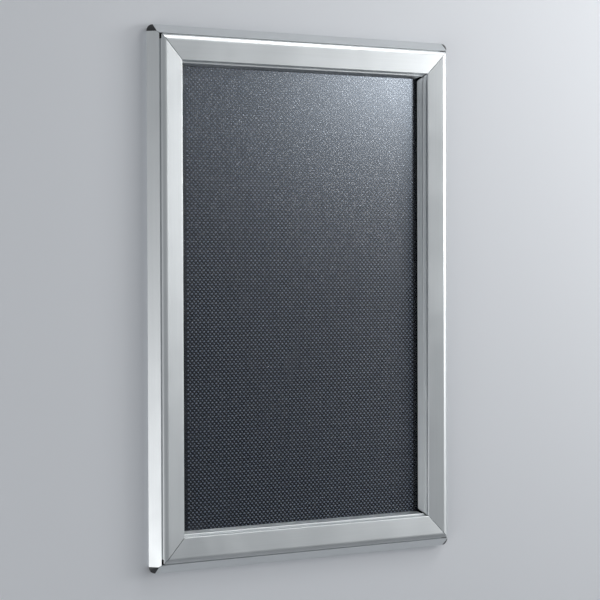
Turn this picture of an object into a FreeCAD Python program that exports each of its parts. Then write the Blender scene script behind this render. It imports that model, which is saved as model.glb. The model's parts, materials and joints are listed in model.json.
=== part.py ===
# Wall-mounted snap-open poster frame, portrait, in millimetres.
# Frame: +X right, +Z up, front towards -Y. The wall is the plane y = 0 and the origin
# is the centre of the frame on that plane, midway between the four wall holes.
import FreeCAD, Part
import math
import os
from FreeCAD import Vector, Rotation, Placement

# ---- driving dimensions ------------------------------------------------------------
INSERT_W = 304.8            # poster and back panel, 12 in wide
INSERT_H = 457.2            # poster and back panel, 18 in high
INSERT_PLAY = 0.8           # play round the panel inside the locating ribs
FACE_OVERLAP = 10.0         # width of poster edge that each rail face hides
RAIL_WIDTH = 32.0           # outermost edge to the inner edge of the face
DEPTH = 17.0                # wall to the highest line of the front

WALL = 1.4                  # thickness of the extruded aluminium
SHOULDER = 14.6             # outermost edge to the outer edge of the flat face
FACE_DROP = 1.7             # how much nearer the wall the face's inner edge is
BEND_R = 7.5                # outer radius between the face and the hinge
LIP_ANGLE = 127.0           # where the hinge socket ends on the outside, degrees
SOCKET_START = -90.0        # where the hinge socket ends on the inside, degrees
SOCKET_R = 2.1              # outer radius of the hinge socket
BEAD_R = 1.1                # radius of the bead that the socket turns on
HINGE_FIT = 0.08            # running clearance, radial, between bead and socket
SWEEP_R = 2.5               # the base is cleared to this radius round the bead
STEM_ANGLE = 236.0          # direction of the stem that carries the bead
STEM_W = 1.0                # thickness of that stem
STEM_L = 3.4                # length of that stem
GUSSET_FROM = 2.6           # block between stem and band, from the hinge along the band
GUSSET_TO = 4.2
GUSSET_IN = 0.9             # how far it reaches inwards past the hinge axis
HINGE_END = 13.2            # sockets stop this far from each outer corner
BEAD_SHORT = 0.3            # each bead's end to the socket's end

BAND_OFFSET = 1.9           # outer band surface to the hinge axis
BAND_ANGLE = 140.0          # direction that the outer band faces
BAND_LOW = 4.9              # height of the frame's outermost line above the wall
FOOT_U = 3.3                # where the band's return meets the wall
BAND_END = 6.5              # bands are cut square this far from each outer corner
FLANGE_U = 30.0             # inner edge of the flange that lies on the wall

RIB_T = 1.3                 # locating rib beside the panel
RIB_LIP = 1.7               # overhang that holds the spring feet
PANEL_T = 1.5               # back panel at its border
PANEL_BORDER = 8.0          # plain border of the back panel
FIELD_DEPTH = 0.3           # the embossed field lies this far below the border
SHEET_T = 0.5               # clear cover sheet
CLOSE_GAP = 0.3             # closed cover rail to cover sheet

LIP_DEPTH = 2.4             # upright edge at the inside of the face
LIP_STEP = 0.3              # how far that edge leans into the opening
LEG_STEP = 4.5              # how far the inner leg reaches into the opening
LEG_BEAD_R = 1.1            # stiffening bead along the inner leg
LEG_BEAD_AT = 0.30          # its place along the leg, from lip to foot
EDGE_R = 0.7                # rounding of the face's inner edge

MITRE_GAP = 0.3             # each rail's end to the 45 degree corner line
JOINT_GAP = 0.1             # between the corner piece and the cut end of a band

SPRING_T = 0.5              # flat steel spring
SPRING_W = 18.0
SPRING_U = 14.5             # where the spring's foot turns up
SPRING_END = 100.0          # end of the spring's curl, degrees
SPRING_GAP = 0.3            # spring to hinge socket
SPRING_INSET = 72.0         # outer corner to the first spring's middle
SPRING_PLAY = 0.05          # spring foot in its slot

HOLE_R = 2.4                # wall screw holes
HOLE_U = 15.5               # outermost edge to hole centre
HOLE_INSET = 110.0          # outer corner to hole centre, along the side rails

LEG_U0 = 5.2                # legs of the corner pieces, on the flange
LEG_U1 = 13.0
LEG_H = 3.0
LEG_LEN = 45.0              # outer corner to the leg's end
NECK_GAP = 0.29             # back of the band to the block that joins the legs
NECK_U1 = 9.5
NECK_TOP = 8.0
CORNER_PLAY = 0.05          # leg to flange

SCREW_AT = 32.0             # outer corner to the corner screw
SCREW_R = 1.45
SCREW_HEAD_R = 2.8
SCREW_HEAD_H = 1.2
SCREW_SUNK = 0.15           # head below the wall side of the flange
SCREW_LEN = 4.0
SCREW_FIT = 0.1
SLOT_W = 0.8                # cross recess in the head
SLOT_L = 3.0
SLOT_DEEP = 0.7

# ---- sizes that follow -------------------------------------------------------------
WIDTH = INSERT_W - 2 * FACE_OVERLAP + 2 * RAIL_WIDTH
HEIGHT = INSERT_H - 2 * FACE_OVERLAP + 2 * RAIL_WIDTH
PANEL_U = RAIL_WIDTH - FACE_OVERLAP
RIB_U1 = PANEL_U - INSERT_PLAY
RIB_U0 = RIB_U1 - RIB_T
PANEL_FRONT = WALL + PANEL_T
SHEET_FRONT = PANEL_FRONT + SHEET_T

# name, turn about +Y, length of the side, centre to outermost edge
SIDES = [
    ("bottom", 0, WIDTH, HEIGHT / 2),
    ("left", 90, HEIGHT, WIDTH / 2),
    ("top", 180, WIDTH, HEIGHT / 2),
    ("right", 270, HEIGHT, WIDTH / 2),
]


# ---- plane figures in a rail's section: u inwards from the outermost edge, v off the wall
def point(u, v):
    return Vector(0, -v, u)


def polar(centre, radius, degrees):
    a = math.radians(degrees)
    return (centre[0] + radius * math.cos(a), centre[1] + radius * math.sin(a))


def polygon(points):
    corners = [point(u, v) for u, v in points]
    return Part.Face(Part.makePolygon(corners + corners[:1]))


def disk(centre, radius):
    edge = Part.Circle(point(*centre), Vector(1, 0, 0), radius).toShape()
    return Part.Face(Part.Wire([edge]))


def sector(centre, inner, outer, start, end):
    """Part of a ring from angle start to angle end, degrees, anticlockwise."""
    middle = (start + end) / 2
    outside = Part.Arc(*[point(*polar(centre, outer, a)) for a in (start, middle, end)])
    inside = Part.Arc(*[point(*polar(centre, inner, a)) for a in (end, middle, start)])
    first = Part.LineSegment(outside.EndPoint, inside.StartPoint)
    second = Part.LineSegment(inside.EndPoint, outside.StartPoint)
    return Part.Face(Part.Wire([c.toShape() for c in (outside, first, inside, second)]))


def ribbon(points, thickness):
    """A wall of one thickness that follows the points and lies on their left side."""
    shifted = []
    for i, (u, v) in enumerate(points):
        before = points[max(i - 1, 0)]
        after = points[min(i + 1, len(points) - 1)]
        normals = []
        for a, b in ((before, points[i]), (points[i], after)):
            run = math.hypot(b[0] - a[0], b[1] - a[1])
            if run > 0:
                normals.append(((a[1] - b[1]) / run, (b[0] - a[0]) / run))
        nu = sum(n[0] for n in normals) / len(normals)
        nv = sum(n[1] for n in normals) / len(normals)
        scale = thickness / (nu * nu + nv * nv)
        shifted.append((u + nu * scale, v + nv * scale))
    return polygon(points + shifted[::-1])


# ---- solids ------------------------------------------------------------------------
def prism(figures, reach, length):
    """Figures of one section as a straight bar along X, outermost edge at z = -reach."""
    bars = []
    for face in figures:
        bar = face.extrude(Vector(length, 0, 0))
        if bar.Volume < 0:
            bar.reverse()
        bar.translate(Vector(-length / 2, 0, -reach))
        bars.append(bar)
    if len(bars) == 1:
        return bars[0]
    return bars[0].multiFuse(bars[1:]).removeSplitter()


def rail_outline(reach, length, square_end, gap, height):
    """Outline of a rail seen from the front: ends at 45 degrees, square at the outside."""
    half = length / 2
    flat = half - square_end
    inner = half - reach / 2 - gap
    right = [
        Vector(flat, -height, -reach - DEPTH),
        Vector(flat, -height, -reach + square_end - gap),
        Vector(inner, -height, -reach / 2),
    ]
    left = [Vector(-corner.x, corner.y, corner.z) for corner in reversed(right)]
    return Part.makePolygon(right + left + right[:1])


def mitred(bar, reach, length, square_end, lean=0.0):
    """Cut both ends; below the hinge the cut leans inwards by lean per millimetre."""
    level = rail_outline(reach, length, square_end, MITRE_GAP, hinge[1])
    front = Part.Face(level).extrude(Vector(0, -2 * DEPTH, 0))
    low_gap = MITRE_GAP + lean * (hinge[1] + WALL)
    low = rail_outline(reach, length, square_end, low_gap, -WALL)
    back = Part.makeLoft([level, low], True, True)
    return bar.common(front.fuse(back)).removeSplitter().Solids[0]


def turned(shape, degrees):
    copy = shape.copy()
    copy.Placement = Placement(Vector(), Rotation(Vector(0, 1, 0), degrees)).multiply(copy.Placement)
    return copy


def export(name, shape):
    whole = all(solid.isValid() and solid.Volume > 0 for solid in shape.Solids)
    if not shape.Solids or not whole:
        raise ValueError("bad solid: " + name)
    shape.exportStep("parts/" + name + ".step")
    print(name, len(shape.Solids), round(shape.Volume, 1))


# ---- hinge axis and face line ------------------------------------------------------
face_angle = math.degrees(math.atan2(RAIL_WIDTH - SHOULDER, FACE_DROP))
face_outer = (SHOULDER, DEPTH)
face_inner = (RAIL_WIDTH, DEPTH - FACE_DROP)
bend_centre = polar(face_outer, -BEND_R, face_angle)
hinge = polar(bend_centre, BEND_R - SOCKET_R, LIP_ANGLE)

# ---- foot of the inner leg: it swings out by foot_swing before it lifts clear --------
foot = (RAIL_WIDTH + LEG_STEP, SHEET_FRONT + CLOSE_GAP)
foot_swing = math.dist(hinge, foot) - (foot[0] - hinge[0])
end_lean = foot_swing / (hinge[1] - foot[1])

# ---- outer band: a straight slope from the hinge down to the outermost line ---------
band_top = polar(hinge, BAND_OFFSET, BAND_ANGLE)
band_outer = (0.0, BAND_LOW)


def band_height(u):
    """Height of the outer band's surface at u."""
    share = u / band_top[0]
    return BAND_LOW + share * (band_top[1] - BAND_LOW)


def band_back(v):
    """Place of the outer band's back at height v."""
    rise = band_top[1] - BAND_LOW
    thick = WALL * math.dist(band_outer, band_top) / rise
    return band_top[0] * (v - BAND_LOW) / rise + thick


def return_back(v):
    """Place of the back of the band's return at height v, below the outermost line."""
    thick = WALL * math.dist(band_outer, (FOOT_U, 0)) / BAND_LOW
    return FOOT_U * (BAND_LOW - v) / BAND_LOW + thick


def beside_band(out, along):
    """A place measured from the hinge: outwards from the band, and down along it."""
    u, v = polar(hinge, out, BAND_ANGLE)
    return polar((u, v), along, BAND_ANGLE + 90)


def base_section():
    shell = ribbon([band_top, band_outer, (FOOT_U, 0.0), (FLANGE_U, 0.0)], WALL)
    rib = polygon([(RIB_U0, 0), (RIB_U1, 0), (RIB_U1, SHEET_FRONT), (RIB_U0, SHEET_FRONT)])
    lip_low = WALL + SPRING_T + 2 * SPRING_PLAY
    lip = polygon([
        (RIB_U0 - RIB_LIP, lip_low),
        (RIB_U0 + RIB_T / 2, lip_low),
        (RIB_U0 + RIB_T / 2, lip_low + RIB_T),
        (RIB_U0 - RIB_LIP, lip_low + RIB_T),
    ])
    return [shell, rib, lip]


def bead_section():
    side = STEM_W / 2
    root = polar(hinge, STEM_L, STEM_ANGLE)
    stem = polygon([
        polar(hinge, side, STEM_ANGLE + 90),
        polar(hinge, side, STEM_ANGLE - 90),
        polar(root, side, STEM_ANGLE - 90),
        polar(root, side, STEM_ANGLE + 90),
    ])
    gusset = polygon([
        beside_band(BAND_OFFSET - WALL / 2, GUSSET_FROM),
        beside_band(-GUSSET_IN, GUSSET_FROM),
        beside_band(-GUSSET_IN, GUSSET_TO),
        beside_band(BAND_OFFSET - WALL / 2, GUSSET_TO),
    ])
    return [disk(hinge, BEAD_R), stem, gusset]


def cover_section():
    face = ribbon([face_inner, face_outer], WALL)
    bend = sector(bend_centre, BEND_R - WALL, BEND_R, face_angle, LIP_ANGLE)
    lip = (face_inner[0] + LIP_STEP, face_inner[1] - LIP_DEPTH)
    lean = (foot[0] - lip[0]) / (lip[1] - foot[1])
    below = (foot[0] + lean * WALL, foot[1] - WALL)
    leg = ribbon([below, lip, face_inner], WALL)
    bead_at = (
        lip[0] + LEG_BEAD_AT * (foot[0] - lip[0]),
        lip[1] + LEG_BEAD_AT * (foot[1] - lip[1]),
    )
    return [face, bend, leg, disk(bead_at, LEG_BEAD_R)]


def below_leg():
    """What the inner leg is cut off by, so that its foot lies flat on the cover sheet."""
    top = foot[1]
    return polygon([(0, -WALL), (2 * RAIL_WIDTH, -WALL), (2 * RAIL_WIDTH, top), (0, top)])


def rounded_edge(bar, place, radius):
    """Round the long edge that passes through a place, z and height off the wall."""
    edges = []
    for edge in bar.Edges:
        ends = edge.Vertexes
        along = abs(ends[0].X - ends[-1].X) > 1.0
        near = math.hypot(ends[0].Z - place[0], -ends[0].Y - place[1]) < 0.01
        if along and near:
            edges.append(edge)
    return bar.makeFillet(radius, edges)


# ---- rails -------------------------------------------------------------------------
def base_rail(length, reach, wall_holes):
    bar = prism(base_section(), reach, length).cut(prism([disk(hinge, SWEEP_R)], reach, length))
    bar = mitred(bar, reach, length, BAND_END + JOINT_GAP)
    bead = prism(bead_section(), reach, length - 2 * (HINGE_END + BEAD_SHORT))
    bar = bar.fuse(bead).removeSplitter()
    for end in (-1, 1):
        x = end * (length / 2 - SCREW_AT)
        z = -reach + (LEG_U0 + LEG_U1) / 2
        sunk = SCREW_SUNK + SCREW_HEAD_H
        cone = Part.makeCone(
            SCREW_HEAD_R + SCREW_FIT + SCREW_SUNK,
            SCREW_R + SCREW_FIT,
            sunk,
            Vector(x, 0, z),
            Vector(0, -1, 0),
        )
        bore = Part.makeCylinder(SCREW_R + SCREW_FIT, 2 * WALL, Vector(x, 0, z), Vector(0, -1, 0))
        bar = bar.cut(cone.fuse(bore))
        if wall_holes:
            x = end * (length / 2 - HOLE_INSET)
            z = -reach + HOLE_U
            bar = bar.cut(Part.makeCylinder(HOLE_R, 2 * WALL, Vector(x, 0, z), Vector(0, -1, 0)))
    return bar


def cover_rail(length, reach):
    bar = prism(cover_section(), reach, length).cut(prism([below_leg()], reach, length))
    bar = rounded_edge(bar, (face_inner[0] - reach, face_inner[1]), EDGE_R)
    hinged = length - 2 * HINGE_END
    bore = prism([disk(hinge, BEAD_R + HINGE_FIT)], reach, hinged)
    ring = sector(hinge, BEAD_R + HINGE_FIT, SOCKET_R, SOCKET_START, LIP_ANGLE)
    socket = prism([ring], reach, hinged)
    bar = mitred(bar.cut(bore), reach, length, 0.0, end_lean)
    return bar.fuse(socket).removeSplitter()


# ---- springs -----------------------------------------------------------------------
def spring_section():
    low = WALL + SPRING_PLAY
    across = SPRING_U - hinge[0]
    down = low + SPRING_T / 2 - hinge[1]
    away = SOCKET_R + SPRING_GAP + SPRING_T / 2
    radius = (across ** 2 + down ** 2 - away ** 2) / (2 * (away - down))
    centre = (SPRING_U, low + SPRING_T / 2 + radius)
    half = SPRING_T / 2
    curl = sector(centre, radius - half, radius + half, SPRING_END, 270)
    tip = RIB_U0 - 2 * SPRING_PLAY
    foot = polygon([(SPRING_U, low), (tip, low), (tip, low + SPRING_T), (SPRING_U, low + SPRING_T)])
    return [curl, foot]


def spring_group(length, reach):
    places = [-(length / 2 - SPRING_INSET), length / 2 - SPRING_INSET]
    if places[1] - places[0] > 4 * SPRING_INSET:
        places.insert(1, 0.0)
    clips = []
    for x in places:
        clip = prism(spring_section(), reach, SPRING_W)
        clip.translate(Vector(x, 0, 0))
        clips.append(clip)
    return Part.makeCompound(clips)


# ---- corner pieces and their screws, drawn at the lower left corner -----------------
def leg_screw(x, z):
    toward = Vector(0, -1, 0)
    start = Vector(x, -SCREW_SUNK, z)
    head = Part.makeCone(SCREW_HEAD_R, SCREW_R, SCREW_HEAD_H, start, toward)
    shank = Part.makeCylinder(SCREW_R, SCREW_LEN - SCREW_SUNK, start, toward)
    screw = head.fuse(shank).removeSplitter()
    for dx, dz in ((SLOT_L, SLOT_W), (SLOT_W, SLOT_L)):
        corner = Vector(x - dx / 2, -SCREW_SUNK - SLOT_DEEP, z - dz / 2)
        screw = screw.cut(Part.makeBox(dx, SLOT_DEEP + SCREW_SUNK, dz, corner))
    return screw


def corner_piece():
    x0 = -WIDTH / 2
    z0 = -HEIGHT / 2
    profile = polygon([
        (BAND_END, 0),
        (FOOT_U, 0),
        band_outer,
        (BAND_END, band_height(BAND_END)),
    ])
    profile.translate(Vector(x0 + BAND_END, 0, z0))
    axis_point = Vector(x0 + BAND_END, 0, z0 + BAND_END)
    plug = profile.revolve(axis_point, Vector(0, 1, 0), 90)
    low = WALL + CORNER_PLAY
    high = low + LEG_H
    wide = LEG_U1 - LEG_U0
    long = LEG_LEN - LEG_U0
    along_x = Part.makeBox(long, LEG_H, wide, Vector(x0 + LEG_U0, -high, z0 + LEG_U0))
    along_z = Part.makeBox(wide, LEG_H, long, Vector(x0 + LEG_U0, -high, z0 + LEG_U0))
    neck_u0 = max(band_back(NECK_TOP), return_back(low)) + NECK_GAP
    block = NECK_U1 - neck_u0
    neck = Part.makeBox(block, NECK_TOP - low, block, Vector(x0 + neck_u0, -NECK_TOP, z0 + neck_u0))
    piece = plug.multiFuse([along_x, along_z, neck]).removeSplitter()
    middle = (LEG_U0 + LEG_U1) / 2
    screws = [
        leg_screw(x0 + SCREW_AT, z0 + middle),
        leg_screw(x0 + middle, z0 + SCREW_AT),
    ]
    for x, z in ((SCREW_AT, middle), (middle, SCREW_AT)):
        place = Vector(x0 + x, -low + 1, z0 + z)
        piece = piece.cut(Part.makeCylinder(SCREW_R, SCREW_LEN - low + 1, place, Vector(0, -1, 0)))
    return piece, Part.makeCompound(screws)


def mirrored(shape, flip_x, flip_z):
    copy = shape
    if flip_x:
        copy = copy.mirror(Vector(), Vector(1, 0, 0))
    if flip_z:
        copy = copy.mirror(Vector(), Vector(0, 0, 1))
    return copy


# ---- panel and sheet ---------------------------------------------------------------
def plate(width, height, low, high):
    return Part.makeBox(width, high - low, height, Vector(-width / 2, -high, -height / 2))


def back_panel():
    board = plate(INSERT_W, INSERT_H, WALL, PANEL_FRONT)
    field_w = INSERT_W - 2 * PANEL_BORDER
    field_h = INSERT_H - 2 * PANEL_BORDER
    return board.cut(plate(field_w, field_h, PANEL_FRONT - FIELD_DEPTH, PANEL_FRONT + WALL))


# ---- write the assembly ------------------------------------------------------------
os.makedirs("parts", exist_ok=True)
for name, degrees, length, reach in SIDES:
    has_wall_holes = name in ("left", "right")
    export("base_rail_" + name, turned(base_rail(length, reach, has_wall_holes), degrees))
    export("cover_rail_" + name, turned(cover_rail(length, reach), degrees))
    export("spring_clips_" + name, turned(spring_group(length, reach), degrees))

piece, screws = corner_piece()
for place, flip_x, flip_z in (
    ("bottom_left", False, False),
    ("bottom_right", True, False),
    ("top_left", False, True),
    ("top_right", True, True),
):
    export("corner_piece_" + place, mirrored(piece, flip_x, flip_z))
    export("corner_screws_" + place, mirrored(screws, flip_x, flip_z))

export("back_panel", back_panel())
export("cover_sheet", plate(INSERT_W, INSERT_H, PANEL_FRONT, SHEET_FRONT))
print("hinge axis", hinge, "size", WIDTH, HEIGHT, DEPTH)
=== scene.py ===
# %% [markdown]
# # A sign holder whose rails snap open
# The object is a portrait frame on a wall. Four aluminium cover rails meet at 45 degrees and
# each turns outwards on a bead along its outer edge. Behind them lie a clear sheet and a black
# embossed panel, and black moulded pieces round the corners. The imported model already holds
# every piece at its true size, so this lesson loads it and builds finer pieces around it.

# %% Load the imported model
import json
import math

import bmesh
import bpy
from mathutils import Matrix, Vector


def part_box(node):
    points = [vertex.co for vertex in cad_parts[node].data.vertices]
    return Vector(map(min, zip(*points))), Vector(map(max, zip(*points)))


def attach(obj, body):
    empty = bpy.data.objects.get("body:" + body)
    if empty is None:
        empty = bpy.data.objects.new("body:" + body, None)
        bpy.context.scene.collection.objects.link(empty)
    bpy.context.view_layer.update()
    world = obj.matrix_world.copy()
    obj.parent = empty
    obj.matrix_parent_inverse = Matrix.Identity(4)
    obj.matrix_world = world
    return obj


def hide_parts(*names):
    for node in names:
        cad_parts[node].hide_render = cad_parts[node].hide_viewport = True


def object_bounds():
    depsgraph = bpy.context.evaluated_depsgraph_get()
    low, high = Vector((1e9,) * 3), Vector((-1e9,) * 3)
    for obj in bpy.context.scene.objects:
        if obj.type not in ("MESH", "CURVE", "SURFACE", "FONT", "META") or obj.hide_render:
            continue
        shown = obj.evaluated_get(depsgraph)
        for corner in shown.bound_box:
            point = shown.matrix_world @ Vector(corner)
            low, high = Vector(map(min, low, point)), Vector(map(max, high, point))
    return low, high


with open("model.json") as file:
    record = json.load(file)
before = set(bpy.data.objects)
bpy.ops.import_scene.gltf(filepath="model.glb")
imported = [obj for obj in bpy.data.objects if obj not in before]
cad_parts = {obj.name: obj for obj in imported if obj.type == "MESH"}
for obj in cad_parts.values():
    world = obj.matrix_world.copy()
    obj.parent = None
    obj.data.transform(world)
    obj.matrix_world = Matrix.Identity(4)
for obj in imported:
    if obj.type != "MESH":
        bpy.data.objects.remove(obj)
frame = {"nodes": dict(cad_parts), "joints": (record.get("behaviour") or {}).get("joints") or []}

cad_box = [list(corner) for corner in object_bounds()]
print("packed model spans", cad_box)

# %% [markdown]
# ## Places that come from the frame
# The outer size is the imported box. The hinge line of the left rail gives the place of every
# bead in a rail's section, because all four rails share one section. In that section u runs
# inwards from the outermost edge and v runs off the wall, both in metres.

# %% Outer size and hinge place
MM = 0.001
LOW, HIGH = Vector(cad_box[0]), Vector(cad_box[1])
WIDTH = HIGH.x - LOW.x
HEIGHT = HIGH.z - LOW.z
DEPTH = -LOW.y
hinges = {joint["name"]: Vector(joint["pos_m"]) for joint in frame["joints"]}
HINGE_U = hinges["open_left"].x - LOW.x
HINGE_V = -hinges["open_left"].y
SHEET_FRONT = -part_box("cover_sheet")[0][1]
print("outer size", round(WIDTH, 4), round(HEIGHT, 4), "hinge", round(HINGE_U, 5), round(HINGE_V, 5))

# %% The four sides: turn about Y, length, and centre to outermost edge
SIDES = {
    "bottom": (0, WIDTH, HEIGHT / 2),
    "left": (90, HEIGHT, WIDTH / 2),
    "top": (180, WIDTH, HEIGHT / 2),
    "right": (270, HEIGHT, WIDTH / 2),
}

# %% [markdown]
# ## Helpers
# Each piece is shaped in a bmesh, which is Blender's editable mesh, and then stored as an
# object at the origin. Faces are shaded smooth, and edges that turn sharply are marked. A
# modifier then gives the largest face at each corner the most say in the shading, so that
# flats stay flat and bends look round.


# %% Turn a bmesh into an object in the scene
def to_object(name, shape, material):
    mesh = bpy.data.meshes.new(name)
    shape.to_mesh(mesh)
    shape.free()
    mesh.materials.append(material)
    made = bpy.data.objects.new(name, mesh)
    bpy.context.scene.collection.objects.link(made)
    return made


# %% Store a bmesh as a piece
LARGEST_FACE_WINS = 100


def store(name, shape, material, body, replaced=(), sharp_at=32, weighted=True):
    bmesh.ops.recalc_face_normals(shape, faces=shape.faces)
    piece = to_object(name, shape, material)
    mesh = piece.data
    mesh.polygons.foreach_set("use_smooth", [True] * len(mesh.polygons))
    mesh.set_sharp_from_angle(angle=math.radians(sharp_at))
    if weighted:
        flat = piece.modifiers.new("flats stay flat", "WEIGHTED_NORMAL")
        flat.mode = "FACE_AREA"
        flat.weight = LARGEST_FACE_WINS
        flat.keep_sharp = True
    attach(piece, body)
    if replaced:
        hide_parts(*replaced)
    print(name, len(mesh.polygons), "faces")
    return piece


# %% Points on a circle, by angle in degrees
def polar(centre, radius, degrees):
    angle = math.radians(degrees)
    return (centre[0] + radius * math.cos(angle), centre[1] + radius * math.sin(angle))


def arc(centre, radius, start, end, steps):
    return [polar(centre, radius, start + (end - start) * i / steps) for i in range(steps + 1)]


# %% Round some edges or corners, and turn a whole bmesh
def round_off(shape, geom, radius, segments=2, affect="EDGES"):
    bmesh.ops.bevel(
        shape, geom=geom, offset=radius, offset_type="OFFSET", segments=segments,
        profile=0.5, affect=affect, clamp_overlap=True, material=-1,
    )


def turn_about(shape, degrees, axis):
    turned = Matrix.Rotation(math.radians(degrees), 3, axis)
    bmesh.ops.rotate(shape, cent=(0, 0, 0), matrix=turned, verts=shape.verts)


# %% A plain block, and a block with rounded edges
def add_plain_block(shape, low, high):
    low, high = Vector(low), Vector(high)
    made = bmesh.ops.create_cube(shape, size=1.0)["verts"]
    bmesh.ops.scale(shape, vec=high - low, verts=made)
    bmesh.ops.translate(shape, vec=(low + high) / 2, verts=made)
    return made


def add_block(shape, low, high, rounding):
    made = add_plain_block(shape, low, high)
    edges = list({edge for vert in made for edge in vert.link_edges})
    round_off(shape, edges, rounding)


# %% [markdown]
# ## Shader groups
# An effect that several finishes share is made once as a node group with named sockets.
# `drawn_lines` gives the fine lines that a die leaves along an extrusion. `handling` gives the
# broad cloudy marks of hands and cleaning cloths. `moulded_grain` gives the faint leathery
# surface of a moulding.


# %% Make a node group with sockets
def new_group(name, inputs, outputs):
    group = bpy.data.node_groups.new(name, "ShaderNodeTree")
    for label, kind, value in inputs:
        socket = group.interface.new_socket(label, in_out="INPUT", socket_type=kind)
        if value is not None:
            socket.default_value = value
    for label, kind in outputs:
        group.interface.new_socket(label, in_out="OUTPUT", socket_type=kind)
    entry = group.nodes.new("NodeGroupInput")
    leave = group.nodes.new("NodeGroupOutput")
    return group, entry, leave


def add_node(tree, kind, **settings):
    node = tree.nodes.new(kind)
    for key, value in settings.items():
        if key in node.inputs:
            node.inputs[key].default_value = value
        else:
            setattr(node, key, value)
    return node


def remap(tree, source, low, high, to_low, to_high):
    node = tree.nodes.new("ShaderNodeMapRange")
    tree.links.new(source, node.inputs["Value"])
    node.inputs["From Min"].default_value = low
    node.inputs["From Max"].default_value = high
    node.inputs["To Min"].default_value = to_low
    node.inputs["To Max"].default_value = to_high
    return node.outputs["Result"]


def one_over(tree, source):
    node = add_node(tree, "ShaderNodeMath", operation="DIVIDE")
    node.inputs[0].default_value = 1.0
    tree.links.new(source, node.inputs[1])
    return node.outputs["Value"]


# %% Fine lines along an extrusion
def make_drawn_lines():
    group, entry, leave = new_group(
        "drawn_lines",
        [
            ("Vector", "NodeSocketVector", None),
            ("Stretch", "NodeSocketVector", (1.0, 1.0, 1.0)),
            ("Strength", "NodeSocketFloat", 0.06),
        ],
        [("Tone", "NodeSocketFloat"), ("Height", "NodeSocketFloat")],
    )
    spread = add_node(group, "ShaderNodeVectorMath", operation="MULTIPLY")
    group.links.new(entry.outputs["Vector"], spread.inputs[0])
    group.links.new(entry.outputs["Stretch"], spread.inputs[1])
    fine = add_node(group, "ShaderNodeTexNoise", Scale=2600.0, Detail=3.0, Roughness=0.6)
    broad = add_node(group, "ShaderNodeTexNoise", Scale=420.0, Detail=2.0, Roughness=0.5)
    for noise in (fine, broad):
        group.links.new(spread.outputs["Vector"], noise.inputs["Vector"])
    mixed = add_node(group, "ShaderNodeMath", operation="ADD")
    group.links.new(fine.outputs["Fac"], mixed.inputs[0])
    group.links.new(broad.outputs["Fac"], mixed.inputs[1])
    centred = add_node(group, "ShaderNodeMath", operation="SUBTRACT")
    centred.inputs[1].default_value = 1.0
    group.links.new(mixed.outputs["Value"], centred.inputs[0])
    scaled = add_node(group, "ShaderNodeMath", operation="MULTIPLY")
    group.links.new(centred.outputs["Value"], scaled.inputs[0])
    group.links.new(entry.outputs["Strength"], scaled.inputs[1])
    tone = add_node(group, "ShaderNodeMath", operation="ADD")
    tone.inputs[1].default_value = 1.0
    group.links.new(scaled.outputs["Value"], tone.inputs[0])
    group.links.new(tone.outputs["Value"], leave.inputs["Tone"])
    group.links.new(mixed.outputs["Value"], leave.inputs["Height"])
    return group


# %% Broad marks from hands and cloths
def make_handling():
    group, entry, leave = new_group(
        "handling",
        [("Vector", "NodeSocketVector", None), ("Patch size", "NodeSocketFloat", 0.05)],
        [("Mask", "NodeSocketFloat")],
    )
    scale = one_over(group, entry.outputs["Patch size"])
    cloud = add_node(group, "ShaderNodeTexNoise", Detail=5.0, Roughness=0.55, Distortion=0.6)
    group.links.new(entry.outputs["Vector"], cloud.inputs["Vector"])
    group.links.new(scale, cloud.inputs["Scale"])
    mask = remap(group, cloud.outputs["Fac"], 0.35, 0.7, 0.0, 1.0)
    group.links.new(mask, leave.inputs["Mask"])
    return group


# %% Faint grain of a moulding
def make_moulded_grain():
    group, entry, leave = new_group(
        "moulded_grain",
        [("Vector", "NodeSocketVector", None), ("Cell size", "NodeSocketFloat", 0.0006)],
        [("Height", "NodeSocketFloat"), ("Tone", "NodeSocketFloat")],
    )
    scale = one_over(group, entry.outputs["Cell size"])
    cells = add_node(group, "ShaderNodeTexVoronoi", feature="SMOOTH_F1")
    cloud = add_node(group, "ShaderNodeTexNoise", Detail=4.0, Roughness=0.6)
    for node in (cells, cloud):
        group.links.new(entry.outputs["Vector"], node.inputs["Vector"])
        group.links.new(scale, node.inputs["Scale"])
    height = add_node(group, "ShaderNodeMath", operation="ADD")
    group.links.new(cells.outputs["Distance"], height.inputs[0])
    group.links.new(cloud.outputs["Fac"], height.inputs[1])
    group.links.new(height.outputs["Value"], leave.inputs["Height"])
    tone = remap(group, cloud.outputs["Fac"], 0.3, 0.7, 0.85, 1.15)
    group.links.new(tone, leave.inputs["Tone"])
    return group


drawn_lines = make_drawn_lines()
handling = make_handling()
moulded_grain = make_moulded_grain()

# %% [markdown]
# ## Finishes
# Every finish of a piece has one Principled shader. What changes over the surface comes from
# the groups, read in Object coordinates, so it keeps its real scale. A number that is the same
# everywhere is typed straight into the shader's socket. The clear sheet and the backdrop also
# mix in a transparent shader where light should pass.


# %% Start a finish
def start_finish(name, **sockets):
    material = bpy.data.materials.new(name)
    material.use_nodes = True
    tree = material.node_tree
    shader = tree.nodes["Principled BSDF"]
    for key, value in sockets.items():
        shader.inputs[key.replace("_", " ")].default_value = value
    return material, tree, shader


def object_place(tree):
    node = tree.nodes.get("Texture Coordinate") or tree.nodes.new("ShaderNodeTexCoord")
    return node.outputs["Object"]


def use_group(tree, group, **values):
    node = tree.nodes.new("ShaderNodeGroup")
    node.node_tree = group
    tree.links.new(object_place(tree), node.inputs["Vector"])
    for key, value in values.items():
        node.inputs[key.replace("_", " ")].default_value = value
    return node


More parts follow.
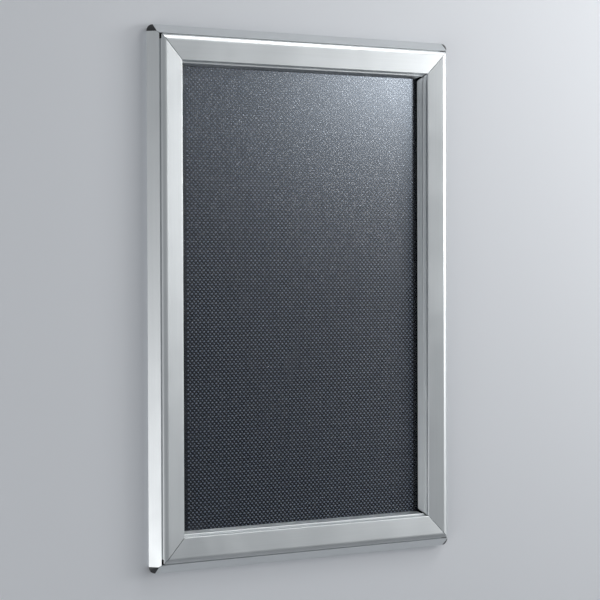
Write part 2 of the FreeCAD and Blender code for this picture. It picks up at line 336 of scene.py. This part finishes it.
# %% Steps that several finishes share
def tint(tree, shader, colour, tone):
    mix = add_node(tree, "ShaderNodeVectorMath", operation="SCALE")
    mix.inputs[0].default_value = colour
    tree.links.new(tone, mix.inputs["Scale"])
    tree.links.new(mix.outputs["Vector"], shader.inputs["Base Color"])


def vary_roughness(tree, shader, patch_size, smooth, rough):
    marks = use_group(tree, handling, Patch_size=patch_size)
    roughness = remap(tree, marks.outputs["Mask"], 0.0, 1.0, smooth, rough)
    tree.links.new(roughness, shader.inputs["Roughness"])


def bump(tree, shader, height, distance):
    node = tree.nodes.new("ShaderNodeBump")
    node.inputs["Distance"].default_value = distance
    node.inputs["Strength"].default_value = 1.0
    tree.links.new(height, node.inputs["Height"])
    tree.links.new(node.outputs["Normal"], shader.inputs["Normal"])


def clear_where(tree, shader, factor):
    clear = tree.nodes.new("ShaderNodeBsdfTransparent")
    mix = tree.nodes.new("ShaderNodeMixShader")
    tree.links.new(factor, mix.inputs[0])
    tree.links.new(shader.outputs["BSDF"], mix.inputs[1])
    tree.links.new(clear.outputs["BSDF"], mix.inputs[2])
    tree.links.new(mix.outputs["Shader"], tree.nodes["Material Output"].inputs["Surface"])


# %% Metal with fine lines and marks from handling
def make_metal(name, colour, stretch, line_strength, line_depth, patch_size, smooth, rough):
    material, tree, shader = start_finish(name, Metallic=1.0)
    lines = use_group(tree, drawn_lines, Stretch=stretch, Strength=line_strength)
    tint(tree, shader, colour, lines.outputs["Tone"])
    vary_roughness(tree, shader, patch_size, smooth, rough)
    bump(tree, shader, lines.outputs["Height"], line_depth)
    return material


# %% Satin anodised aluminium, with its lines along X or along Z
def make_aluminium(name, colour, stretch, smooth, rough):
    return make_metal(name, colour, stretch, 0.07, 0.004 * MM, 60 * MM, smooth, rough)


ALONG_X = (0.01, 1.0, 1.0)
ALONG_Z = (1.0, 1.0, 0.01)
COVER_SILVER = (0.845, 0.875, 0.885)
BASE_SILVER = (0.79, 0.815, 0.825)
COVER_SATIN = (0.34, 0.42)
BASE_SATIN = (0.38, 0.46)
cover_finish = {
    "bottom": make_aluminium("cover_anodised_across", COVER_SILVER, ALONG_X, *COVER_SATIN),
    "left": make_aluminium("cover_anodised_up", COVER_SILVER, ALONG_Z, *COVER_SATIN),
}
base_finish = {
    "bottom": make_aluminium("base_anodised_across", BASE_SILVER, ALONG_X, *BASE_SATIN),
    "left": make_aluminium("base_anodised_up", BASE_SILVER, ALONG_Z, *BASE_SATIN),
}
for finish in (cover_finish, base_finish):
    finish["top"] = finish["bottom"]
    finish["right"] = finish["left"]


# %% Spring steel and zinc plated screws
def make_bare_metal(name, colour, smooth, rough, line_strength):
    stretch = (0.2, 1.0, 0.2)
    return make_metal(name, colour, stretch, line_strength, 0.006 * MM, 8 * MM, smooth, rough)


spring_steel = make_bare_metal("rolled_spring_steel", (0.56, 0.57, 0.60), 0.22, 0.34, 0.12)
zinc_plate = make_bare_metal("zinc_plate", (0.70, 0.71, 0.74), 0.24, 0.42, 0.08)


# %% Black moulded corner pieces
def make_black_moulding():
    material, tree, shader = start_finish("black_moulding", Specular_IOR_Level=0.7)
    grain = use_group(tree, moulded_grain, Cell_size=0.5 * MM)
    tint(tree, shader, (0.030, 0.031, 0.033), grain.outputs["Tone"])
    vary_roughness(tree, shader, 12 * MM, 0.36, 0.50)
    bump(tree, shader, grain.outputs["Height"], 0.01 * MM)
    return material


black_moulding = make_black_moulding()

# %% Glossy black polystyrene of the back panel
PANEL_GRAIN = 0.9 * MM


def make_panel_black():
    material, tree, shader = start_finish("panel_black_gloss", Specular_IOR_Level=0.25)
    grain = use_group(tree, moulded_grain, Cell_size=PANEL_GRAIN)
    tint(tree, shader, (0.004, 0.006, 0.011), grain.outputs["Tone"])
    vary_roughness(tree, shader, 70 * MM, 0.25, 0.28)
    bump(tree, shader, grain.outputs["Height"], 0.006 * MM)
    return material


panel_black = make_panel_black()


# %% Tips of the dashes: a lighter bluish black, a painted glint that stands in for the specks of light on the raised dashes
def make_panel_tips():
    material, tree, shader = start_finish(
        "dash_tips_painted_glint", Specular_IOR_Level=0.5, Roughness=0.32
    )
    grain = use_group(tree, moulded_grain, Cell_size=PANEL_GRAIN)
    # Painted glint: the tips are coloured lighter and bluer than the panel to stand in for their
    # highlights.
    tint(tree, shader, (0.090, 0.112, 0.150), grain.outputs["Tone"])
    return material


glint_painted_tips = make_panel_tips()


# %% Clear sheet: glass that lets shadow rays straight through
def make_clear_sheet():
    material, tree, shader = start_finish(
        "clear_sheet", Transmission_Weight=1.0, IOR=1.46, Alpha=0.13, Roughness=0.22,
        Base_Color=(0.97, 0.98, 0.99, 1.0),
    )
    rays = tree.nodes.new("ShaderNodeLightPath")
    clear_where(tree, shader, rays.outputs["Is Shadow Ray"])
    return material


clear_plastic = make_clear_sheet()

# %% [markdown]
# ## The section of a cover rail
# A cover rail is one extrusion. From outside to inside it has a small bend, a flat face that
# falls a little towards the wall, an upright edge, and a leg with a stiffening bead, whose foot
# keeps the sheet in. It could be bent from a strip with Solidify, but its wall is not the same
# everywhere, so its outline is drawn once, as points and arcs, and extruded.

# %% Section sizes of the cover rail
WALL = 1.4 * MM
SHOULDER = 14.6 * MM
FACE_END = 32.0 * MM
FACE_DROP = 1.7 * MM
BEND_R = 7.5 * MM
LIP_ANGLE = 127.0
SOCKET_R = 2.1 * MM
BORE_R = 1.18 * MM
BORE_MEETS_FACE = 78.0
SOCKET_START = -90.0
SOCKET_END_GAP = 13.2 * MM
EDGE_DEPTH = 2.4 * MM
EDGE_LEAN = 0.3 * MM
LEG_STEP = 4.5 * MM
FOOT_GAP = 0.3 * MM
LEG_BEAD_R = 1.1 * MM
LEG_BEAD_AT = 0.30
MITRE_GAP = 0.3 * MM
END_BREAK = 0.1 * MM
EDGE_ROUND = 0.7 * MM
SMALL_ROUND = 0.2 * MM

# %% Inside corners of the section, as shares of the wall
LEG_TOP_DROP = 0.2 * WALL
UNDER_EDGE_IN = 1.08 * WALL
UNDER_EDGE_DOWN = 0.95 * WALL
FOOT_WALL = 1.12 * WALL

# %% How finely arcs are drawn, and how near two points are the same
BEND_STEPS = 12
SOCKET_STEPS = 28
BORE_STEPS = 20
ROUND_STEPS = 5
SAME_POINT = 0.01 * MM
END_FACE_CORNERS = 12

# %% Corners of the section
hinge = (HINGE_U, HINGE_V)
face_turn = math.degrees(math.atan2(FACE_END - SHOULDER, FACE_DROP))
face_outer = (SHOULDER, DEPTH)
face_inner = (FACE_END, DEPTH - FACE_DROP)
bend_centre = polar(face_outer, -BEND_R, face_turn)
edge_low = (face_inner[0] + EDGE_LEAN, face_inner[1] - EDGE_DEPTH)
foot = (FACE_END + LEG_STEP, SHEET_FRONT + FOOT_GAP)
leg_slope = math.degrees(math.atan2(foot[1] - edge_low[1], foot[0] - edge_low[0]))
leg_run = math.dist(edge_low, foot)
end_lean = (math.dist(hinge, foot) - (foot[0] - hinge[0])) / (hinge[1] - foot[1])
print("leg slope", round(leg_slope, 1), "end lean", round(end_lean, 3))


# %% Outline of the cover rail, from its lip over the face to the foot and back inside
def cover_outline():
    bead_centre = polar(edge_low, LEG_BEAD_AT * leg_run, leg_slope)
    leg_top = (edge_low[0] - WALL, edge_low[1] - LEG_TOP_DROP)
    under_edge = (face_inner[0] - UNDER_EDGE_IN, face_inner[1] - UNDER_EDGE_DOWN)
    foot_width = FOOT_WALL * abs(1 / math.sin(math.radians(leg_slope)))
    foot_back = (foot[0] - foot_width, foot[1])
    face_back = polar(face_outer, -WALL, face_turn)
    lip_inside = polar(hinge, BORE_R, LIP_ANGLE)
    bore_meets = polar(hinge, BORE_R, BORE_MEETS_FACE)
    points = [lip_inside]
    points += arc(bend_centre, BEND_R, LIP_ANGLE, face_turn, BEND_STEPS)
    points += [face_inner, edge_low]
    points += arc(bead_centre, LEG_BEAD_R, leg_slope + 180, leg_slope, BEND_STEPS)
    points += [foot, foot_back, leg_top, under_edge, face_back, bore_meets]
    rounded = {
        face_inner: EDGE_ROUND,
        edge_low: SMALL_ROUND,
        foot: SMALL_ROUND,
        foot_back: SMALL_ROUND,
    }
    return points, rounded


def socket_outline():
    points = arc(hinge, SOCKET_R, SOCKET_START, LIP_ANGLE, SOCKET_STEPS)
    points += arc(hinge, BORE_R, LIP_ANGLE, SOCKET_START, BORE_STEPS)
    return points


# %% Extrude an outline; a bevel may replace the face, and the new one is then the last
def extrude_section(shape, points, length, reach, rounded=None):
    verts = [shape.verts.new((-length / 2, -v, -reach + u)) for u, v in points]
    face = shape.faces.new(verts)
    for corner, radius in (rounded or {}).items():
        chosen = [
            vert for vert in face.verts
            if math.dist((vert.co.z + reach, -vert.co.y), corner) < SAME_POINT
        ]
        round_off(shape, chosen, radius, ROUND_STEPS, "VERTICES")
        if not face.is_valid:
            face = shape.faces[:][-1]
    made = bmesh.ops.extrude_face_region(shape, geom=[face], use_keep_orig=True)["geom"]
    moved = [item for item in made if isinstance(item, bmesh.types.BMVert)]
    bmesh.ops.translate(shape, vec=(length, 0, 0), verts=moved)


# %% Cut the ends, which lean apart below the hinge line, and break their edges
def cut_mitres(shape, length, reach):
    for vert in shape.verts:
        inwards = vert.co.z + reach + MITRE_GAP
        below = max(0.0, hinge[1] + vert.co.y)
        end = length / 2 - inwards - end_lean * below
        vert.co.x = math.copysign(end, vert.co.x)


def soften_ends(shape):
    ends = [face for face in shape.faces if len(face.verts) > END_FACE_CORNERS]
    edges = list({edge for face in ends for edge in face.edges})
    round_off(shape, edges, END_BREAK)


# %% Build the four cover rails
def build_cover(side):
    degrees, length, reach = SIDES[side]
    shape = bmesh.new()
    points, rounded = cover_outline()
    extrude_section(shape, points, length, reach, rounded)
    cut_mitres(shape, length, reach)
    soften_ends(shape)
    extrude_section(shape, socket_outline(), length - 2 * SOCKET_END_GAP, reach)
    turn_about(shape, degrees, "Y")
    return store("cover_" + side + "_shell", shape, cover_finish[side], "cover_" + side,
                 ["cover_rail_" + side])


for side in SIDES:
    build_cover(side)

# %% [markdown]
# ## Base rails, springs and screws
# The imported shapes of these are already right, holes and hooks included, so they stay and only
# get a better finish.


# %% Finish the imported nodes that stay
def refinish(node, material):
    mesh = frame["nodes"][node].data
    mesh.materials.clear()
    mesh.materials.append(material)


CORNERS = {
    "bottom_left": (1, 1),
    "bottom_right": (-1, 1),
    "top_left": (1, -1),
    "top_right": (-1, -1),
}
for side in SIDES:
    refinish("base_rail_" + side, base_finish[side])
    refinish("spring_clips_" + side, spring_steel)
for corner in CORNERS:
    refinish("corner_screws_" + corner, zinc_plate)

# %% [markdown]
# ## Corner pieces
# A corner piece is one black moulding: a rounded cap that carries the slope of the bands round
# the corner, and two legs that lie inside the rails. A cap like this could be a bevelled block,
# but its slope must meet the bands, so the band's own outline is spun a quarter turn.

# %% Sizes of a corner piece
BAND_END = 6.5 * MM
BAND_LOW = 4.9 * MM
BAND_FOOT = 3.3 * MM
BAND_TOP = 1.9 * MM
BAND_FACING = 140.0
CAP_ROUND, CAP_ROUND_STEPS, CAP_TURN_STEPS = 0.5 * MM, 4, 16
WELD = 0.001 * MM
LEG_FROM, LEG_TO, LEG_LONG = 5.2 * MM, 13.0 * MM, 45.0 * MM
LEG_LOW, LEG_HIGH, LEG_ROUND = 1.45 * MM, 4.45 * MM, 0.3 * MM
NECK_FROM, NECK_TO, NECK_HIGH, NECK_ROUND = 4.7 * MM, 9.5 * MM, 8.0 * MM, 0.4 * MM
band_top = polar(hinge, BAND_TOP, BAND_FACING)
cap_high = BAND_LOW + (band_top[1] - BAND_LOW) * BAND_END / band_top[0]


# %% Cap of a corner piece
def spin_cap(shape):
    outline = [(BAND_END, 0.0), (BAND_FOOT, 0.0), (0.0, BAND_LOW), (BAND_END, cap_high)]
    verts = [shape.verts.new((BAND_END, -v, u)) for u, v in outline]
    shape.faces.new(verts)
    round_off(shape, [verts[2], verts[1]], CAP_ROUND, CAP_ROUND_STEPS, "VERTICES")
    section = shape.verts[:] + shape.edges[:] + shape.faces[:]
    bmesh.ops.spin(
        shape, geom=section, cent=(BAND_END, 0, BAND_END), axis=(0, 1, 0),
        angle=math.radians(90), steps=CAP_TURN_STEPS,
    )
    bmesh.ops.remove_doubles(shape, verts=shape.verts, dist=WELD)


# %% Build the four corner pieces
def build_corner(corner, across, up):
    shape = bmesh.new()
    spin_cap(shape)
    start = (LEG_FROM, -LEG_HIGH, LEG_FROM)
    add_block(shape, start, (LEG_LONG, -LEG_LOW, LEG_TO), LEG_ROUND)
    add_block(shape, start, (LEG_TO, -LEG_LOW, LEG_LONG), LEG_ROUND)
    neck_start = (NECK_FROM, -NECK_HIGH, NECK_FROM)
    add_block(shape, neck_start, (NECK_TO, -LEG_LOW, NECK_TO), NECK_ROUND)
    bmesh.ops.translate(shape, vec=(LOW.x, 0, LOW.z), verts=shape.verts)
    bmesh.ops.scale(shape, vec=(across, 1, up), verts=shape.verts)
    return store("corner_" + corner + "_moulding", shape, black_moulding, "base_frame",
                 ["corner_piece_" + corner])


for corner, (across, up) in CORNERS.items():
    build_corner(corner, across, up)

# %% [markdown]
# ## Back panel
# The panel is a moulded polystyrene sheet with a plain border and a field of small raised
# dashes. The border comes from an inset, and the dashes are low six-sided domes. A bump map
# would be flat from the side, so the domes are real geometry, copied by two Array modifiers.

# %% Sizes of the panel
panel_low, panel_high = (Vector(corner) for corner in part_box("back_panel"))
PANEL_BORDER = 8.0 * MM
FIELD_DEPTH = 0.3 * MM
EDGE_BREAK = 0.08 * MM
FACES_THAT_WAY = 0.5
RIM_TURN = 0.5


# %% Build the panel
def build_panel():
    shape = bmesh.new()
    add_plain_block(shape, panel_low, panel_high)
    front = [face for face in shape.faces if face.normal.y < -FACES_THAT_WAY]
    bmesh.ops.inset_region(shape, faces=front, thickness=PANEL_BORDER, use_even_offset=True)
    bmesh.ops.inset_region(shape, faces=front, thickness=FIELD_DEPTH, depth=-FIELD_DEPTH)
    rim = [edge for edge in shape.edges if abs(edge.calc_face_angle(0.0)) > RIM_TURN]
    round_off(shape, rim, EDGE_BREAK)
    return store("panel_sheet", shape, panel_black, "base_frame", ["back_panel"])


panel_pieces = [build_panel()]

# %% Lattice of the dashes, with a plain strip at the left and right
PITCH = 4.4 * MM
HALF_STEP = (PITCH / 2, 0, PITCH / 2)
SIDE_PLAIN = 19.0 * MM
field_front = panel_low.y + FIELD_DEPTH
field_w = panel_high.x - panel_low.x - 2 * SIDE_PLAIN
field_h = panel_high.z - panel_low.z - 2 * PANEL_BORDER
columns = int(field_w / PITCH)
rows = int(field_h / PITCH) - 1
print("dashes:", columns, "by", rows)


# %% One dash of unit size: a six-sided stub with a crown and no underside
def add_dash(shape):
    bmesh.ops.create_cone(shape, cap_ends=True, segments=6, radius1=0.5, radius2=0.30, depth=1.0)
    top = [face for face in shape.faces if face.normal.z > FACES_THAT_WAY]
    bmesh.ops.poke(shape, faces=top, offset=0.18)
    bottom = [face for face in shape.faces if face.normal.z < -FACES_THAT_WAY]
    bmesh.ops.delete(shape, geom=bottom, context="FACES_ONLY")
    bmesh.ops.translate(shape, vec=(0, 0, 0.5), verts=shape.verts)


# %% Build the embossed dashes
DASH_SHARP_AT = 80


def build_dashes(name, wide, tall, rise, shift, turn):
    shape = bmesh.new()
    add_dash(shape)
    bmesh.ops.scale(shape, vec=(wide, tall, rise), verts=shape.verts)
    turn_about(shape, turn, "Z")
    turn_about(shape, 90, "X")
    start = Vector((-(columns - 1) / 2 * PITCH, field_front, -(rows - 1) / 2 * PITCH))
    bmesh.ops.translate(shape, vec=start + Vector(shift), verts=shape.verts)
    # The dashes carry the painted-glint finish of the tips.
    piece = store(name, shape, glint_painted_tips, "base_frame",
                  sharp_at=DASH_SHARP_AT, weighted=False)
    for label, count, step in (("across", columns, (PITCH, 0, 0)), ("up", rows, (0, 0, PITCH))):
        array = piece.modifiers.new(label, "ARRAY")
        array.use_relative_offset = False
        array.use_constant_offset = True
        array.constant_offset_displace = step
        array.count = count
    return piece


panel_pieces += [
    build_dashes(
        "panel_long_dashes", wide=2.4 * MM, tall=1.6 * MM, rise=0.25 * MM,
        shift=(0, 0, 0), turn=12,
    ),
    build_dashes(
        "panel_short_dashes", wide=2.2 * MM, tall=1.2 * MM, rise=0.18 * MM,
        shift=HALF_STEP, turn=-38,
    ),
]

# %% [markdown]
# ## Clear sheet
# A thin clear sheet lies on the panel and keeps a poster flat. It is a block with its edges
# broken by a small bevel, because a single plane would have no edge to catch the light.


# %% Build the clear sheet
def build_sheet():
    shape = bmesh.new()
    low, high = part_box("cover_sheet")
    add_block(shape, low, high, EDGE_BREAK)
    return store("clear_cover", shape, clear_plastic, "base_frame", ["cover_sheet"])


panel_pieces.append(build_sheet())

# %% [markdown]
# ## Stage
# A pale wall stands behind the frame, because the object hangs on one, and a pale floor lies
# well below. The wall is clear from behind, so that the back of the frame can be looked at. It
# is also open behind the frame, because a wall right behind it would keep all light off its back.


# %% Paint for the stage
def make_stage_paint(name, colour, one_sided):
    material, tree, shader = start_finish(name, Base_Color=(*colour, 1.0), Roughness=0.7)
    grain = use_group(tree, moulded_grain, Cell_size=3 * MM)
    bump(tree, shader, grain.outputs["Height"], 0.02 * MM)
    if one_sided:
        side = tree.nodes.new("ShaderNodeNewGeometry")
        clear_where(tree, shader, side.outputs["Backfacing"])
    return material


wall_paint = make_stage_paint("wall_paint", (0.88, 0.90, 0.935), True)
floor_paint = make_stage_paint("floor_paint", (0.55, 0.55, 0.56), False)


# %% A flat rectangle to start from
def start_rectangle(size_x, size_y):
    shape = bmesh.new()
    bmesh.ops.create_grid(shape, x_segments=1, y_segments=1, size=0.5)
    bmesh.ops.scale(shape, vec=(size_x, size_y, 1), verts=shape.verts)
    return shape


# %% The wall, grown outwards from the rim of its opening
BACKDROP_WIDE, BACKDROP_HIGH, BACKDROP_RISE = 7.0, 5.0, 0.6
BACKDROP_GAP = 0.3 * MM
OPENING_INSET = 5.5 * MM


def build_wall():
    open_x, open_z = WIDTH - 2 * OPENING_INSET, HEIGHT - 2 * OPENING_INSET
    shape = start_rectangle(open_x, open_z)
    middle = shape.faces[:]
    grown = bmesh.ops.extrude_edge_only(shape, edges=shape.edges[:])["geom"]
    outer = [item for item in grown if isinstance(item, bmesh.types.BMVert)]
    stretch = (BACKDROP_WIDE / open_x, BACKDROP_HIGH / open_z, 1)
    bmesh.ops.scale(shape, vec=stretch, verts=outer)
    bmesh.ops.translate(shape, vec=(0, BACKDROP_RISE, 0), verts=outer)
    bmesh.ops.delete(shape, geom=middle, context="FACES_ONLY")
    turn_about(shape, 90, "X")
    bmesh.ops.translate(shape, vec=(0, HIGH.y + BACKDROP_GAP, 0), verts=shape.verts)
    bmesh.ops.recalc_face_normals(shape, faces=shape.faces)
    if shape.faces[0].normal.y > 0:
        bmesh.ops.reverse_faces(shape, faces=shape.faces)
    backdrop = to_object("wall", shape, wall_paint)


build_wall()

# %% The floor
FLOOR_WIDE, FLOOR_DEEP = 7.0, 6.0
FLOOR_PLACE = (0, -2.0, -1.4)

plane = to_object("floor", start_rectangle(FLOOR_WIDE, FLOOR_DEEP), floor_paint)
plane.location = FLOOR_PLACE

# %% [markdown]
# ## Light
# Satin metal shows what stands around it, so the lamps are soft. Two at the upper right and
# right light the faces, a large one low at the left lights the outer band on that side, and a
# large one far to the right fills in. One stands behind the wall for views of the back. The
# last gives the haze at the panel's upper right, and light linking keeps it to the panel.

# %% Lamps: watts, edge length, place and aim
LAMPS = {
    "key_upper_right": (1.95, 0.35, (0.45, -0.55, 0.75), (0.05, 0, 0.1)),
    "side_right": (2.9, 0.35, (1.0, -0.5, 0.25), (0.05, 0, 0.1)),
    "low_left": (7.2, 1.0, (-1.64, -0.87, -0.75), (0, 0, 0)),
    "behind": (14.0, 1.2, (-0.9, 1.9, 0.7), (0, 0, 0)),
    "far_right": (4.4, 1.0, (1.77, -0.94, 0.07), (0, 0, 0)),
}
SHEEN_LAMP = (11.5, 0.25, (1.30, -1.45, 0.45), (0, 0, 0))
SHEEN_COLOUR = (0.78, 0.88, 1.0)


# %% Lights
def add_light(name, power, size, place, aim):
    data = bpy.data.lights.new(name, "AREA")
    data.shape = "RECTANGLE"
    data.size = data.size_y = size
    data.energy = power
    lamp = bpy.data.objects.new(name, data)
    lamp.location = place
    direction = Vector(aim) - Vector(place)
    lamp.rotation_euler = direction.to_track_quat("-Z", "Y").to_euler()
    bpy.context.scene.collection.objects.link(lamp)
    return lamp


for name, settings in LAMPS.items():
    add_light(name, *settings)

# %% The sheen lamp lights only the panel
sheen = add_light("panel_sheen", *SHEEN_LAMP)
sheen.data.color = SHEEN_COLOUR
lit_by_sheen = bpy.data.collections.new("lit_by_sheen")
for piece in panel_pieces:
    lit_by_sheen.objects.link(piece)
sheen.light_linking.receiver_collection = lit_by_sheen

# %% World
WORLD_COLOUR = (0.92, 0.96, 1.0, 1.0)
WORLD_STRENGTH = 0.29

world = bpy.data.worlds.new("studio")
world.use_nodes = True
background = world.node_tree.nodes["Background"]
background.inputs["Color"].default_value = WORLD_COLOUR
background.inputs["Strength"].default_value = WORLD_STRENGTH
bpy.context.scene.world = world
bpy.context.scene.view_settings.view_transform = "Standard"

# %% [markdown]
# ## Camera
# The camera stands to the left of the frame, level with it and a long way off, so the uprights
# stay nearly parallel.

# %% Camera
VIEW_SIDE = math.radians(-34.99)
VIEW_RISE = math.radians(1.13)
VIEW_ROLL = math.radians(-0.19)
VIEW_DISTANCE = 2.093
VIEW_CENTRE = Vector((-0.0017, 0, -0.0028))
VIEW_LENS = 131.2
SENSOR_WIDTH = 36.0

data = bpy.data.cameras.new("camera")
data.lens = VIEW_LENS
data.sensor_width = SENSOR_WIDTH
camera = bpy.data.objects.new("camera", data)
away = Vector((
    math.sin(VIEW_SIDE) * math.cos(VIEW_RISE),
    -math.cos(VIEW_SIDE) * math.cos(VIEW_RISE),
    math.sin(VIEW_RISE),
))
camera.location = VIEW_CENTRE + away * VIEW_DISTANCE
level = (-away).to_track_quat("-Z", "Y").to_matrix()
camera.rotation_euler = (level @ Matrix.Rotation(VIEW_ROLL, 3, "Z")).to_euler()
bpy.context.scene.collection.objects.link(camera)
bpy.context.scene.camera = camera
